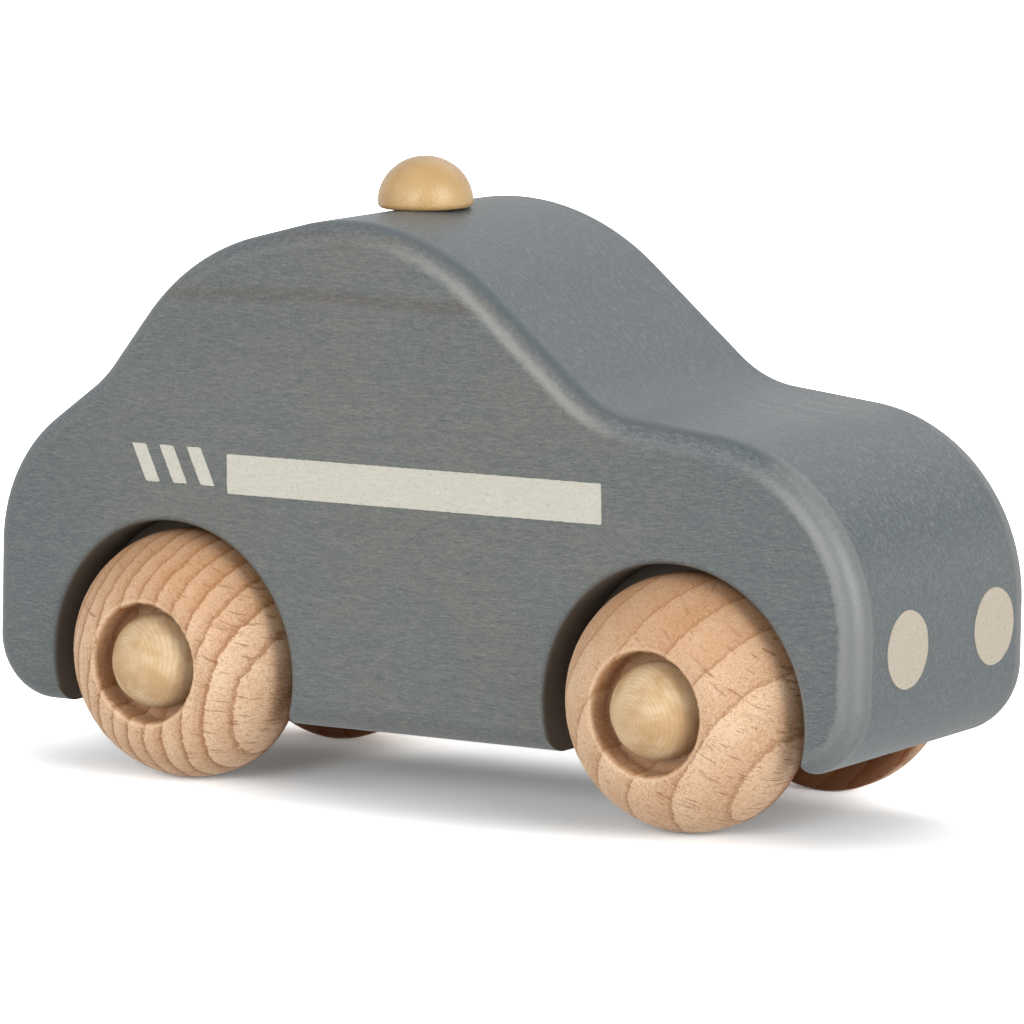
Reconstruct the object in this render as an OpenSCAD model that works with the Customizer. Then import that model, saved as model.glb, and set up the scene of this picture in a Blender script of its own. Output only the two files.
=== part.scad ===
// Wooden push-along police car: one solid body block, four turned wheels on glued pegs,
// a peg-shaped roof beacon and printed side bars and headlights.
// The car faces +X, its right side faces -Y, and its wheels stand on z = 0.

/* [Side outline] */
// Height of the flat underside
underside_z = 9.4; // [8:0.1:11]
// Rear end: x of the lower corner
rear_bottom_x = -71.8; // [-76:0.1:-68]
// Rear end: rounding of the lower corner
rear_bottom_r = 8.8; // [5:0.1:10]
// Boot: x of the rear upper corner
boot_x = -70.4; // [-75:0.1:-67]
// Boot: height of the rear upper corner
boot_z = 43.2; // [41:0.1:46]
// Boot: rounding of the rear upper corner
boot_r = 23.2; // [15:0.1:25]
// Foot of the rear window: x
rear_window_x = -52.2; // [-54:0.1:-50]
// Foot of the rear window: height
rear_window_z = 56.2; // [54:0.1:58]
// Foot of the rear window: hollow rounding
rear_window_r = 20.5; // [12:0.1:24]
// Rear end of the roof: x
roof_rear_x = -37.5; // [-39:0.1:-35]
// Rear end of the roof: height
roof_rear_z = 74.2; // [73:0.1:77]
// Rear end of the roof: rounding
roof_rear_r = 33.6; // [25:0.1:38]
// Crown of the roof: x
roof_crown_x = -8; // [-9:0.1:-6]
// Crown of the roof: height of its corner
roof_crown_z = 81.6; // [80:0.1:83]
// Crown of the roof: rounding
roof_crown_r = 34; // [20:0.1:34]
// Front end of the roof: x
roof_front_x = 7.9; // [7:0.1:10]
// Front end of the roof: height
roof_front_z = 75.4; // [74:0.1:77]
// Front end of the roof: rounding
roof_front_r = 35.9; // [20:0.1:36]
// Foot of the windscreen: x
windscreen_x = 30.6; // [28:0.1:33]
// Foot of the windscreen: height
windscreen_z = 56.2; // [54:0.1:58]
// Foot of the windscreen: hollow rounding
windscreen_r = 16.8; // [10:0.1:20]
// Nose: x of the bonnet's corner
nose_x = 72.1; // [69:0.1:76]
// Nose: height of the bonnet's corner
nose_z = 51.5; // [49:0.1:54]
// Nose: rounding of the bonnet's corner
nose_r = 25.5; // [15:0.1:28]
// Front end: x of the lower corner
front_bottom_x = 70.9; // [68:0.1:75]
// Front end: rounding of the lower corner
front_bottom_r = 10.8; // [6:0.1:12]

/* [Body block] */
// Thickness of the block
body_w = 46.4; // [44:0.1:52]
// Rounding of the block's side edges
edge_r = 3.4; // [1:0.1:4.5]

/* [Wheels] */
// Diameter of a wheel
wheel_d = 35; // [33:0.1:37]
// Thickness of a wheel at its face
wheel_t = 14.7; // [12.5:0.1:16]
// How far the domed part of a wheel reaches in from its face
wheel_dome_t = 11; // [8:0.1:12]
// Exponent of the wheel's domed outline: 2 is an ellipse, less is flatter
wheel_dome_power = 1.77; // [1.5:0.01:2.4]
// Rounding of a wheel's inner edge
wheel_inner_r = 1.6; // [0.5:0.1:2]
// Distance between the front and the rear wheels
wheelbase = 82.5; // [79:0.1:84]
// Place of the middle of the wheelbase
wheelbase_mid_x = 1.25; // [-1:0.05:2.5]
// Diameter of the recess in a wheel's face
recess_d = 16.6; // [16:0.1:19]
// Depth of the recess
recess_depth = 5; // [3:0.1:6]
// Rounding at the bottom of the recess
recess_floor_r = 1.2; // [0.5:0.1:1.4]
// Rounding of the recess's lip
recess_lip_r = 0.7; // [0.2:0.1:1]

/* [Wheel pockets] */
// Diameter of a wheel pocket in the body
pocket_d = 40.8; // [40:0.1:43]
// How far a pocket's centre lies below its wheel's centre
pocket_drop = 1.2; // [0:0.1:1.5]
// Depth of a pocket below the body's side
pocket_depth = 8.6; // [7.5:0.1:9]
// Rounding of a pocket's rim
pocket_rim_r = 0.9; // [0.3:0.1:1.5]
// Free play between a wheel's inner face and the pocket's floor
wheel_play_inside = 0.4; // [0.2:0.05:0.8]

/* [Pegs] */
// Diameter of a peg's shank
peg_d = 7; // [5.5:0.1:8]
// Diameter of a peg's domed head
head_d = 13.4; // [12:0.1:14]
// Height of a peg's domed head
head_h = 7.2; // [6:0.1:8]
// Rounding of the head's lower edge
head_edge_r = 0.8; // [0.3:0.1:1.2]
// Length of an axle peg's shank in the body
peg_grip = 12.6; // [8:0.1:12.8]
// Free play between a peg's head and the floor of the wheel's recess
wheel_play_outside = 0.3; // [0.2:0.05:0.6]
// Running clearance of a wheel on its peg, on the radius
running_clearance = 0.08; // [0.02:0.01:0.1]
// Room for glue around a shank, on the radius
glue_gap = 0.03; // [0.01:0.01:0.1]
// Room for glue below a shank
glue_well = 0.5; // [0.2:0.1:0.7]
// Chamfer at the tip of a shank
tip_chamfer = 0.6; // [0.2:0.1:1]

/* [Beacon] */
// Place of the beacon along the roof
beacon_x = -11.8; // [-15:0.1:-5]
// Length of the beacon's shank in the roof
beacon_grip = 12; // [8:0.1:16]

/* [Prints] */
// Thickness of the printed films
film_t = 0.1; // [0.05:0.01:0.2]
// Length of the long side bar
stripe_l = 61.7; // [50:0.1:64]
// Height of the long side bar
stripe_h = 5.7; // [4:0.1:7]
// Place of the long side bar's middle
stripe_mid_x = 1.05; // [0:0.05:4]
// Height of the long side bar's middle
stripe_mid_z = 44.1; // [43:0.1:48]
// Width of a slanted bar
slash_w = 2.5; // [1.5:0.1:3.2]
// Height of a slanted bar
slash_h = 5.4; // [4:0.1:7]
// How far a slanted bar's foot lies ahead of its top
slash_lean = 2.4; // [1:0.1:3.5]
// Step from one slanted bar to the next
slash_pitch = 4.7; // [4:0.1:5.2]
// Gap from the last slanted bar's foot to the long bar
slash_gap = 2; // [1:0.1:4]
// Height of the slanted bars' middle
slash_mid_z = 44.85; // [43:0.05:48]
// Diameter of a headlight disc
headlight_d = 10.7; // [8:0.1:13]
// Distance between the headlights' centres
headlight_spacing = 23.1; // [18:0.1:26]
// How far the pair lies off the middle of the nose, to the left
headlight_shift = 1.45; // [-2:0.05:2]
// Height of the headlights' centres
headlight_z = 25.8; // [22:0.1:30]

/* [Hidden] */
$fn = 96;
// Largest turn between two points of a rounded corner, in degrees
corner_step = 5;
// Facets across one rounded side edge
edge_steps = 6;
// Points along a turned outline's curve
turned_steps = 28;
// How far a cutting shape runs past what it cuts
past = 1;

wood_blue = "#69737D";
wood_beech = "#D9A878";
wood_peg = "#DCC09A";
paint_mustard = "#D7AF73";
paint_cream = "#D7D5C6";
paint_beige = "#D7CDBE";

slash_count = 3;
side_y = body_w / 2;
axle_z = wheel_d / 2;
front_axle_x = wheelbase_mid_x + wheelbase / 2;
rear_axle_x = wheelbase_mid_x - wheelbase / 2;
pocket_z = axle_z - pocket_drop;

// Places along an axle, measured outwards from the body's middle plane
pocket_floor_y = side_y - pocket_depth;
peg_tip_y = pocket_floor_y - peg_grip;
wheel_inner_y = pocket_floor_y + wheel_play_inside;
wheel_face_y = wheel_inner_y + wheel_t;
recess_floor_y = wheel_face_y - recess_depth;
head_y = recess_floor_y + wheel_play_outside;

// The side outline's corners, clockwise from the rear: [x, z, rounding]
outline = [
    [rear_bottom_x, underside_z, rear_bottom_r],
    [boot_x, boot_z, boot_r],
    [rear_window_x, rear_window_z, rear_window_r],
    [roof_rear_x, roof_rear_z, roof_rear_r],
    [roof_crown_x, roof_crown_z, roof_crown_r],
    [roof_front_x, roof_front_z, roof_front_r],
    [windscreen_x, windscreen_z, windscreen_r],
    [nose_x, nose_z, nose_r],
    [front_bottom_x, underside_z, front_bottom_r]
];
corners = len(outline);

function corner(i) = outline[(i + corners) % corners];
function spot(i) = [corner(i)[0], corner(i)[1]];
function heading(i) = let (d = spot(i + 1) - spot(i)) atan2(d[1], d[0]);
// Turn at a corner: negative turns right, as on a rounded-out corner
function turn(i) = let (t = heading(i) - heading(i - 1)) t > 180 ? t - 360 : (t < -180 ? t + 360 : t);
function side_of(i) = turn(i) < 0 ? 1 : -1;
function normal(a) = [cos(a), sin(a)];
// Centre of a corner's arc, and the outward normals' angles along it
function arc_centre(i) =
    let (r = corner(i)[2], half = turn(i) / 2, mid = heading(i - 1) + 90 + half)
    spot(i) - side_of(i) * normal(mid) * r / cos(half);
function arc_angles(i) =
    let (n = ceil(abs(turn(i)) / corner_step), start = heading(i - 1) + 90)
    [for (k = [0:n]) start + turn(i) * k / n];
// Points of the outline moved outwards by a distance
function outline_points(out) = [
    for (i = [0:corners - 1], a = arc_angles(i))
        arc_centre(i) + normal(a) * (side_of(i) * corner(i)[2] + out)
];

roof_top_z = arc_centre(4)[1] + roof_crown_r;

// The body block: the outline swept across the block, drawn in at the rounded side edges
edge_rings = [
    for (k = [0:edge_steps])
        let (a = 90 - 90 * k / edge_steps) [-side_y + edge_r * (1 - sin(a)), edge_r * (1 - cos(a))],
    for (k = [0:edge_steps])
        let (a = 90 * k / edge_steps) [side_y - edge_r * (1 - sin(a)), edge_r * (1 - cos(a))]
];

module rounded_block() {
    n = len(outline_points(0));
    rings = len(edge_rings);
    points = [for (ring = edge_rings, p = outline_points(-ring[1])) [p[0], ring[0], p[1]]];
    quads = [
        for (r = [0:rings - 2], i = [0:n - 1])
            let (next = (i + 1) % n) [r * n + i, (r + 1) * n + i, (r + 1) * n + next, r * n + next]
    ];
    right_cap = [for (i = [0:n - 1]) i];
    left_cap = [for (i = [n - 1:-1:0]) (rings - 1) * n + i];
    polyhedron(points, concat(quads, [right_cap, left_cap]), convexity = 8);
}

// Points of an arc round a centre, from one angle to another
function arc(centre, r, from, to, steps) =
    [for (k = [0:steps]) centre + r * normal(from + (to - from) * k / steps)];
// Points of a domed outline that swells from its rim at start to its top at end
function dome(start, end, power) = [
    for (k = [0:turned_steps])
        let (a = 90 * k / turned_steps)
        [end[0] + (start[0] - end[0]) * pow(max(cos(a), 0), 2 / power),
            start[1] + (end[1] - start[1]) * pow(sin(a), 2 / power)]
];

// Lays a turned shape along a wheel's axle: side is -1 on the car's right and 1 on its left
module on_axle(x, z, side) {
    translate([x, 0, z]) rotate([-90 * side, 0, 0]) children();
}

module pocket_cut(x, side) {
    r = pocket_d / 2;
    rim = arc([r + pocket_rim_r, side_y - pocket_rim_r], pocket_rim_r, 180, 90, edge_steps);
    on_axle(x, pocket_z, side) rotate_extrude() polygon(concat(
        [[0, pocket_floor_y], [r, pocket_floor_y]],
        rim,
        [[r + pocket_rim_r, side_y + past], [0, side_y + past]]
    ));
}

module peg_hole(x, side) {
    on_axle(x, axle_z, side)
        translate([0, 0, peg_tip_y - glue_well])
            cylinder(r = peg_d / 2 + glue_gap, h = peg_grip + glue_well + past);
}

module beacon_hole() {
    translate([beacon_x, 0, roof_top_z - beacon_grip - glue_well])
        cylinder(r = peg_d / 2 + glue_gap, h = beacon_grip + glue_well + past);
}

module body() {
    color(wood_blue) difference() {
        rounded_block();
        for (x = [front_axle_x, rear_axle_x], side = [-1, 1]) {
            pocket_cut(x, side);
            peg_hole(x, side);
        }
        beacon_hole();
    }
}

// A turned wheel, its profile given as [radius, distance from the body's middle plane]
module wheel(x, side) {
    r = wheel_d / 2;
    recess_r = recess_d / 2;
    bore_r = peg_d / 2 + running_clearance;
    inner_edge = arc([r - wheel_inner_r, wheel_inner_y + wheel_inner_r], wheel_inner_r, -90, 0, edge_steps);
    face_edge = [recess_r + recess_lip_r, wheel_face_y];
    face = dome([r, wheel_face_y - wheel_dome_t], face_edge, wheel_dome_power);
    lip = arc([face_edge[0], wheel_face_y - recess_lip_r], recess_lip_r, 90, 180, edge_steps);
    floor_r = recess_r - recess_floor_r;
    floor_edge = arc([floor_r, recess_floor_y + recess_floor_r], recess_floor_r, 0, -90, edge_steps);
    color(wood_beech) on_axle(x, axle_z, side) rotate_extrude() polygon(concat(
        [[bore_r, wheel_inner_y]],
        inner_edge,
        face,
        lip,
        floor_edge,
        [[bore_r, recess_floor_y]]
    ));
}

// A turned peg with its head's underside at z = 0 and its shank below
module turned_peg(shank_l) {
    shank_r = peg_d / 2;
    head_r = head_d / 2;
    head_edge = arc([head_r - head_edge_r, head_edge_r], head_edge_r, -90, 0, edge_steps);
    rotate_extrude() polygon(concat(
        [[0, -shank_l], [shank_r - tip_chamfer, -shank_l], [shank_r, tip_chamfer - shank_l], [shank_r, 0]],
        head_edge,
        dome([head_r, head_edge_r], [0, head_h], 2)
    ));
}

module axle_peg(x, side) {
    color(wood_peg) on_axle(x, axle_z, side)
        translate([0, 0, head_y])
            turned_peg(head_y - peg_tip_y);
}

module beacon() {
    color(paint_mustard) translate([beacon_x, 0, roof_top_z])
        turned_peg(beacon_grip);
}

// A printed film on the body's side, its outline given as [x, z]
module side_film(points, side) {
    color(paint_cream) on_side(side)
        rotate([90, 0, 0]) linear_extrude(film_t) polygon(points);
}

module on_side(side) {
    mirror([0, side > 0 ? 1 : 0, 0]) translate([0, -side_y, 0]) children();
}

module stripe(side) {
    left = stripe_mid_x - stripe_l / 2;
    low = stripe_mid_z - stripe_h / 2;
    side_film([
        [left, low],
        [left, low + stripe_h],
        [left + stripe_l, low + stripe_h],
        [left + stripe_l, low]
    ], side);
}

// One slanted bar, counted from the rear
module slash(number, side) {
    foot = stripe_mid_x - stripe_l / 2 - slash_gap - slash_w - slash_pitch * (slash_count - number);
    top = foot - slash_lean;
    low = slash_mid_z - slash_h / 2;
    side_film([
        [foot, low],
        [top, low + slash_h],
        [top + slash_w, low + slash_h],
        [foot + slash_w, low]
    ], side);
}

// The body's outline, moved outwards, as a plate across the block
module outline_plate(out) {
    rotate([90, 0, 0]) linear_extrude(body_w, center = true) polygon(outline_points(out));
}

module headlight(side) {
    color(paint_beige) intersection() {
        difference() {
            outline_plate(film_t);
            outline_plate(0);
        }
        translate([0, headlight_shift + side * headlight_spacing / 2, headlight_z])
            rotate([0, 90, 0])
                cylinder(d = headlight_d, h = nose_x + past);
    }
}

body();
wheel(front_axle_x, -1);  // wheel_front_right
wheel(front_axle_x, 1);  // wheel_front_left
wheel(rear_axle_x, -1);  // wheel_rear_right
wheel(rear_axle_x, 1);  // wheel_rear_left
axle_peg(front_axle_x, -1);  // axle_peg_front_right
axle_peg(front_axle_x, 1);  // axle_peg_front_left
axle_peg(rear_axle_x, -1);  // axle_peg_rear_right
axle_peg(rear_axle_x, 1);  // axle_peg_rear_left
beacon();
stripe(-1);  // stripe_right
stripe(1);  // stripe_left
slash(1, -1);  // slash_right_1
slash(2, -1);  // slash_right_2
slash(3, -1);  // slash_right_3
slash(1, 1);  // slash_left_1
slash(2, 1);  // slash_left_2
slash(3, 1);  // slash_left_3
headlight(-1);  // headlight_right
headlight(1);  // headlight_left
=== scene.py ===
"""Looks of a wooden toy police car: stained block, turned beech wheels, pegs, roof beacon and prints."""

import math

import bmesh
import bpy
from mathutils import Matrix, Vector, noise


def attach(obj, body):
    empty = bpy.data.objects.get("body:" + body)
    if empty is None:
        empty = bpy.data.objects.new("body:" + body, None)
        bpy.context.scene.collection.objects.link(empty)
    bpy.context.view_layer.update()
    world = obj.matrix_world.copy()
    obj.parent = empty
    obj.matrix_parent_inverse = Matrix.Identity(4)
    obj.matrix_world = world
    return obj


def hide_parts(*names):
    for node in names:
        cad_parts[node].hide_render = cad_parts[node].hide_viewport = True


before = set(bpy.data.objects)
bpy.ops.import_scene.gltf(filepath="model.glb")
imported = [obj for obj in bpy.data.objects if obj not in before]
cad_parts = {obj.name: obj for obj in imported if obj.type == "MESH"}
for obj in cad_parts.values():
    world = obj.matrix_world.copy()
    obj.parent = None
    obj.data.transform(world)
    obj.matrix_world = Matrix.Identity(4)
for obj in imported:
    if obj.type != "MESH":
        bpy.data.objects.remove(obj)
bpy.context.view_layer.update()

MM = 0.001

# ---------------------------------------------------------------- sizes, in millimetres

UNDERSIDE_Z = 9.4
# The side outline's corners, clockwise from the rear: x, z, rounding
OUTLINE = [
    (-71.8, UNDERSIDE_Z, 8.8),
    (-70.4, 43.2, 23.2),
    (-52.2, 56.2, 20.5),
    (-37.5, 74.2, 33.6),
    (-8.0, 81.6, 34.0),
    (7.9, 75.4, 35.9),
    (30.6, 56.2, 16.8),
    (72.1, 51.5, 25.5),
    (70.9, UNDERSIDE_Z, 10.8),
]
ROOF_CROWN = 4
BODY_W = 46.4
SIDE_Y = BODY_W / 2
EDGE_R = 3.4

WHEEL_D = 35.0
WHEEL_T = 14.7
WHEEL_DOME_T = 11.0
WHEEL_DOME_POWER = 1.77
WHEEL_INNER_R = 1.6
WHEELBASE = 82.5
WHEELBASE_MID_X = 1.25
RECESS_D = 16.6
RECESS_DEPTH = 5.0
RECESS_FLOOR_R = 1.2
RECESS_LIP_R = 0.7

POCKET_D = 40.8
POCKET_DROP = 1.2
POCKET_DEPTH = 8.6
POCKET_RIM_R = 0.9
NOSE_TIP_R = 1.5
WHEEL_PLAY_INSIDE = 0.4
WHEEL_PLAY_OUTSIDE = 0.3

PEG_D = 7.0
HEAD_D = 13.4
HEAD_H = 7.2
HEAD_EDGE_R = 0.8
PEG_GRIP = 12.6
RUNNING_CLEARANCE = 0.08
GLUE_GAP = 0.03
GLUE_WELL = 0.5
TIP_CHAMFER = 0.6

BEACON_X = -11.8
BEACON_GRIP = 12.0

FILM_T = 0.1
STRIPE_L, STRIPE_H = 61.7, 5.7
STRIPE_MID_X, STRIPE_MID_Z = 1.05, 44.1
SLASH_COUNT = 3
SLASH_W, SLASH_H, SLASH_LEAN = 2.5, 5.4, 2.4
SLASH_PITCH, SLASH_GAP, SLASH_MID_Z = 4.7, 2.0, 44.85
HEADLIGHT_D, HEADLIGHT_SPACING = 10.7, 23.1
HEADLIGHT_SHIFT, HEADLIGHT_Z = 1.45, 25.8

AXLE_Z = WHEEL_D / 2
FRONT_AXLE_X = WHEELBASE_MID_X + WHEELBASE / 2
REAR_AXLE_X = WHEELBASE_MID_X - WHEELBASE / 2
POCKET_Z = AXLE_Z - POCKET_DROP
# Places along an axle, measured outwards from the body's middle plane
POCKET_FLOOR_Y = SIDE_Y - POCKET_DEPTH
PEG_TIP_Y = POCKET_FLOOR_Y - PEG_GRIP
WHEEL_INNER_Y = POCKET_FLOOR_Y + WHEEL_PLAY_INSIDE
WHEEL_FACE_Y = WHEEL_INNER_Y + WHEEL_T
RECESS_FLOOR_Y = WHEEL_FACE_Y - RECESS_DEPTH
HEAD_Y = RECESS_FLOOR_Y + WHEEL_PLAY_OUTSIDE

# Fineness of the meshes
CORNER_STEP = 1.5
EDGE_STEPS = 14
TURNED_STEPS = 60
WHEEL_SEGMENTS = 224
PEG_SEGMENTS = 128
CUT_SEGMENTS = 192
PROFILE_STEP = 0.45
DISC_RINGS, DISC_SEGMENTS = 8, 96
FRAY_STEP = 0.35
# Edges sharper than these angles, in degrees, stay creased
BLOCK_CREASE, PLAIN_CREASE, TURNED_CREASE = 30, 40, 50
# How far the cutters reach past the block
PAST = 1.0

# Unevenness left by turning, as an amount and the size of its bumps, and by printing
WHEEL_TORN, WHEEL_TORN_SIZE = 0.14, 0.8
HEAD_TORN, HEAD_TORN_SIZE = 0.08, 1.8
BEACON_TORN, BEACON_TORN_SIZE = 0.05, 2.5
BAR_FRAY, DISC_FRAY = 0.16, 0.14
# How far apart smooth noise is read for x, y and z: mathutils' own noise_vector changes from run to run
NOISE_APART = ((0.0, 0.0, 0.0), (31.7, 12.3, 47.1), (11.9, 53.3, 23.9))

# ---------------------------------------------------------------- floor and lights

# FLOOR_SIZE is in metres, and FLOOR_LEVEL is the colour with which the floor lights the pieces. To the
# camera it is FLOOR_NEAR times as bright as white paint under the car, FLOOR_FAR more than that outside
# an ellipse about FLOOR_MID and FLOOR_BEHIND more behind the car, and it glows by FLOOR_LIFT.
# This uneven brightness is painted: lower near the car, a painted shadow, and higher away from it and
# behind it
FLOOR_SIZE = 30.0
FLOOR_LEVEL = 0.88
FLOOR_MID_X, FLOOR_MID_Y = 14.0, -9.5
FLOOR_HALF_L, FLOOR_HALF_W = 75.0, 25.0
FLOOR_NEAR, FLOOR_FAR, FLOOR_BEHIND = 1.4, 1.4, 1.3
FLOOR_BEHIND_FROM, FLOOR_BEHIND_TO = 3.0, 16.0
FLOOR_LIFT = 0.06
FLOOR_DOUBLINGS = 3

WORLD_LEVEL = 0.16
# Azimuth from the car's right towards its front, elevation, strength and spread of each distant light
SUNS = {
    "side_softbox": (4.6, 22, 0.78, 26),
    "side_softbox_foot": (4.6, 7, 0.36, 16),
    "front_softbox": (75, 22, 1.15, 38),
    "front_softbox_foot": (75, 7, 0.5, 24),
    "rear_fill": (-40, 20, 0.5, 40),
    "front_fill": (100, 15, 0.25, 28),
    "back_top": (180, 50, 0.35, 50),
}

# ---------------------------------------------------------------- the side outline


def unit(degrees):
    return Vector((math.cos(math.radians(degrees)), math.sin(math.radians(degrees))))


def corner_arc(i):
    """Centre, radius with its sign, first normal angle and turn of the outline's corner i."""
    count = len(OUTLINE)
    before, here, after = (Vector(OUTLINE[k % count][:2]) for k in (i - 1, i, i + 1))
    radius = OUTLINE[i][2]
    first = math.degrees(math.atan2(*reversed(here - before)))
    last = math.degrees(math.atan2(*reversed(after - here)))
    turn = (last - first + 180) % 360 - 180
    sign = 1 if turn < 0 else -1
    middle = first + 90 + turn / 2
    centre = here - sign * unit(middle) * radius / math.cos(math.radians(turn / 2))
    return centre, sign * radius, first + 90, turn


def outline_points(out=0.0):
    """Points of the outline, moved outwards by a distance in millimetres."""
    points = []
    for i in range(len(OUTLINE)):
        centre, radius, start, turn = corner_arc(i)
        steps = math.ceil(abs(turn) / CORNER_STEP)
        points += [centre + unit(start + turn * k / steps) * (radius + out) for k in range(steps + 1)]
    return points


def nose_x(z, out=0.0):
    """x of the outline's front end at a height."""
    front = [p for p in outline_points(out) if p.x > FRONT_AXLE_X]
    for a, b in zip(front, front[1:]):
        if a.y >= z >= b.y:
            return a.x + (b.x - a.x) * (a.y - z) / (a.y - b.y)
    raise ValueError(f"the nose has no point at a height of {z}")


ROOF_TOP_Z = corner_arc(ROOF_CROWN)[0].y + OUTLINE[ROOF_CROWN][2]

# ---------------------------------------------------------------- meshes


def mesh_object(name, points, faces, material=None, smooth_below=PLAIN_CREASE):
    """A mesh object from points in millimetres, with its creases sharp above an angle in degrees."""
    mesh = bpy.data.meshes.new(name)
    mesh.from_pydata([Vector(p) * MM for p in points], [], faces)
    form = bmesh.new()
    form.from_mesh(mesh)
    bmesh.ops.recalc_face_normals(form, faces=form.faces)
    form.to_mesh(mesh)
    form.free()
    obj = bpy.data.objects.new(name, mesh)
    bpy.context.scene.collection.objects.link(obj)
    finish_shading(obj, smooth_below)
    if material:
        mesh.materials.append(material)
    return obj


def finish_shading(obj, smooth_below):
    obj.data.polygons.foreach_set("use_smooth", [True] * len(obj.data.polygons))
    obj.data.set_sharp_from_angle(angle=math.radians(smooth_below))


def arc(centre, radius, first, last, steps):
    return [
        Vector(centre) + unit(first + (last - first) * k / steps) * radius for k in range(steps + 1)
    ]


def dome(start, end, power):
    """A domed outline that swells from its rim at start to its top at end."""
    points = []
    for k in range(TURNED_STEPS + 1):
        a = math.radians(90 * k / TURNED_STEPS)
        across = max(math.cos(a), 0) ** (2 / power)
        along = math.sin(a) ** (2 / power)
        points.append(
            Vector((end[0] + (start[0] - end[0]) * across, start[1] + (end[1] - start[1]) * along))
        )
    return points


def spaced(profile, step):
    """The profile with points added, so that none lies further than step from the next."""
    points = [profile[0]]
    for a, b in zip(profile, profile[1:]):
        parts = max(1, math.ceil((b - a).length / step))
        points += [a + (b - a) * k / parts for k in range(1, parts + 1)]
    return points


def turned(profile, segments, closed):
    """Points and faces of a turned shape about the Z axis, its profile given as radius and height."""
    points, faces, rings = [], [], []
    for radius, height in profile:
        if radius < 1e-6:
            rings.append([len(points)])
            points.append((0.0, 0.0, height))
            continue
        rings.append(list(range(len(points), len(points) + segments)))
        for k in range(segments):
            a = 2 * math.pi * k / segments
            points.append((radius * math.cos(a), radius * math.sin(a), height))
    pairs = list(zip(rings, rings[1:]))
    if closed:
        pairs.append((rings[-1], rings[0]))
    for low, high in pairs:
        for k in range(segments):
            after = (k + 1) % segments
            if len(low) == 1 and len(high) == 1:
                continue
            if len(low) == 1:
                faces.append((low[0], high[after], high[k]))
            elif len(high) == 1:
                faces.append((low[k], low[after], high[0]))
            else:
                faces.append((low[k], low[after], high[after], high[k]))
    return points, faces


def along_axle(points, side):
    """Turns points about Z into points about an axle, whose outward end is on that side of the car."""
    return [(x, side * z, -side * y) for x, y, z in points]


def extruded(outline, from_y, to_y):
    """Points and faces of a prism that stands across the car between two values of y."""
    count = len(outline)
    points = [(p.x, y, p.y) for y in (from_y, to_y) for p in outline]
    faces = [list(range(count)), list(range(count, 2 * count))]
    faces += [(i, (i + 1) % count, count + (i + 1) % count, count + i) for i in range(count)]
    return points, faces


def roughened(points, amount, size, seed, share):
    """Points moved by smooth noise with bumps of a size, each by its share of the amount."""
    moved = []
    shift = Vector((seed * 17.3, seed * 5.9, seed * 11.1))
    for p in points:
        at = Vector(p) / size + shift
        offset = Vector([noise.noise(at + Vector(apart)) for apart in NOISE_APART]) * amount * share(p)
        moved.append(Vector(p) + offset)
    return moved


def cut(obj, cutters):
    """Takes the cutters out of obj, and removes them."""
    for cutter in cutters:
        modifier = obj.modifiers.new("cut", "BOOLEAN")
        modifier.operation = "DIFFERENCE"
        modifier.solver = "EXACT"
        modifier.object = cutter
    bpy.context.view_layer.update()
    evaluated = obj.evaluated_get(bpy.context.evaluated_depsgraph_get())
    mesh = bpy.data.meshes.new_from_object(evaluated)
    obj.modifiers.clear()
    obj.data = mesh
    for cutter in cutters:
        bpy.data.objects.remove(cutter)


# ---------------------------------------------------------------- materials


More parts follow.
